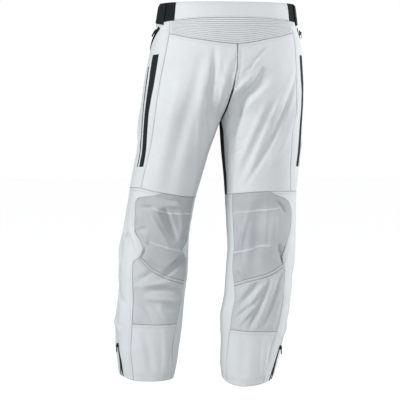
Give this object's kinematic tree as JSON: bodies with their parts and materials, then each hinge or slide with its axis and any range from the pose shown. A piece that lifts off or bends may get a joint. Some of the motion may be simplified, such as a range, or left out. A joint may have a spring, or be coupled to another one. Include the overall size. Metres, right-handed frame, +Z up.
{
  "type": "motorcycle overpants",
  "caption": "Worn motorcycle overpants, empty and hollow, with ribbed back yoke, mesh knees and calves, side stripes, open ankle vents and waist adjusters.",
  "frame": {"origin": "middle of the waist opening, half way up the waistband", "axes": "+Z up, -Y towards the garment's front, +X towards its left leg"},
  "size_m": [0.5177, 0.2735, 1.0396],
  "materials": {
    "shell_cloth": "matt woven nylon, pale grey",
    "mesh_cloth": "open knitted mesh, mid grey",
    "black_cloth": "matt woven nylon, black",
    "zip_tape": "woven zip tape, black",
    "black_metal": "black enamelled zinc"
  },
  "bodies": {
    "garment": {"seat_left": "shell_cloth", "side_thigh_left": "shell_cloth", "front_thigh_left": "shell_cloth", "calf_strip_left": "shell_cloth", "calf_hem_left": "shell_cloth", "shin_side_back_left": "shell_cloth", "shin_side_front_left": "shell_cloth", "shin_front_left": "shell_cloth", "shin_inner_left": "shell_cloth", "waistband_front_left": "shell_cloth", "knee_back_left": "mesh_cloth", "calf_mesh_left": "mesh_cloth", "inner_thigh_back_left": "black_cloth", "inner_thigh_front_left": "black_cloth", "waist_side_left": "black_cloth", "adjuster_tab_left": "black_cloth", "ankle_tape_back_left": "zip_tape", "ankle_tape_front_left": "zip_tape", "pocket_tape_left": "zip_tape", "ankle_slider_left": "black_metal", "pocket_slider_left": "black_metal", "seat_right": "shell_cloth", "side_thigh_right": "shell_cloth", "front_thigh_right": "shell_cloth", "calf_strip_right": "shell_cloth", "calf_hem_right": "shell_cloth", "shin_side_back_right": "shell_cloth", "shin_side_front_right": "shell_cloth", "shin_front_right": "shell_cloth", "shin_inner_right": "shell_cloth", "waistband_front_right": "shell_cloth", "knee_back_right": "mesh_cloth", "calf_mesh_right": "mesh_cloth", "inner_thigh_back_right": "black_cloth", "inner_thigh_front_right": "black_cloth", "waist_side_right": "black_cloth", "adjuster_tab_right": "black_cloth", "ankle_tape_back_right": "zip_tape", "ankle_tape_front_right": "zip_tape", "pocket_tape_right": "zip_tape", "ankle_slider_right": "black_metal", "pocket_slider_right": "black_metal", "yoke_back": "shell_cloth", "waistband_back": "shell_cloth", "fly": "shell_cloth", "waist_tab": "shell_cloth", "waist_snap": "black_metal"},
    "ankle_pull_left": {"ankle_pull_left": "black_metal"},
    "pocket_pull_left": {"pocket_pull_left": "black_metal"},
    "ankle_pull_right": {"ankle_pull_right": "black_metal"},
    "pocket_pull_right": {"pocket_pull_right": "black_metal"}
  },
  "joints": [
    {"name": "ankle_pull_hinge_left", "type": "hinge", "parent": "garment", "child": "ankle_pull_left", "pos_m": [0.30734, 0.02716, -0.90533], "axis": [0.298, -0.9537, 0.0416], "range_deg": [0, 150]},
    {"name": "pocket_pull_hinge_left", "type": "hinge", "parent": "garment", "child": "pocket_pull_left", "pos_m": [0.20287, 0.0255, -0.05486], "axis": [0.1341, -0.6554, 0.7433], "range_deg": [0, 150]},
    {"name": "ankle_pull_hinge_right", "type": "hinge", "parent": "garment", "child": "ankle_pull_right", "pos_m": [-0.1419, 0.05733, -0.91587], "axis": [0.535, 0.8437, 0.0434], "range_deg": [0, 150]},
    {"name": "pocket_pull_hinge_right", "type": "hinge", "parent": "garment", "child": "pocket_pull_right", "pos_m": [-0.1999, 0.02543, -0.05482], "axis": [0.1243, 0.6593, -0.7415], "range_deg": [0, 150]}
  ]
}
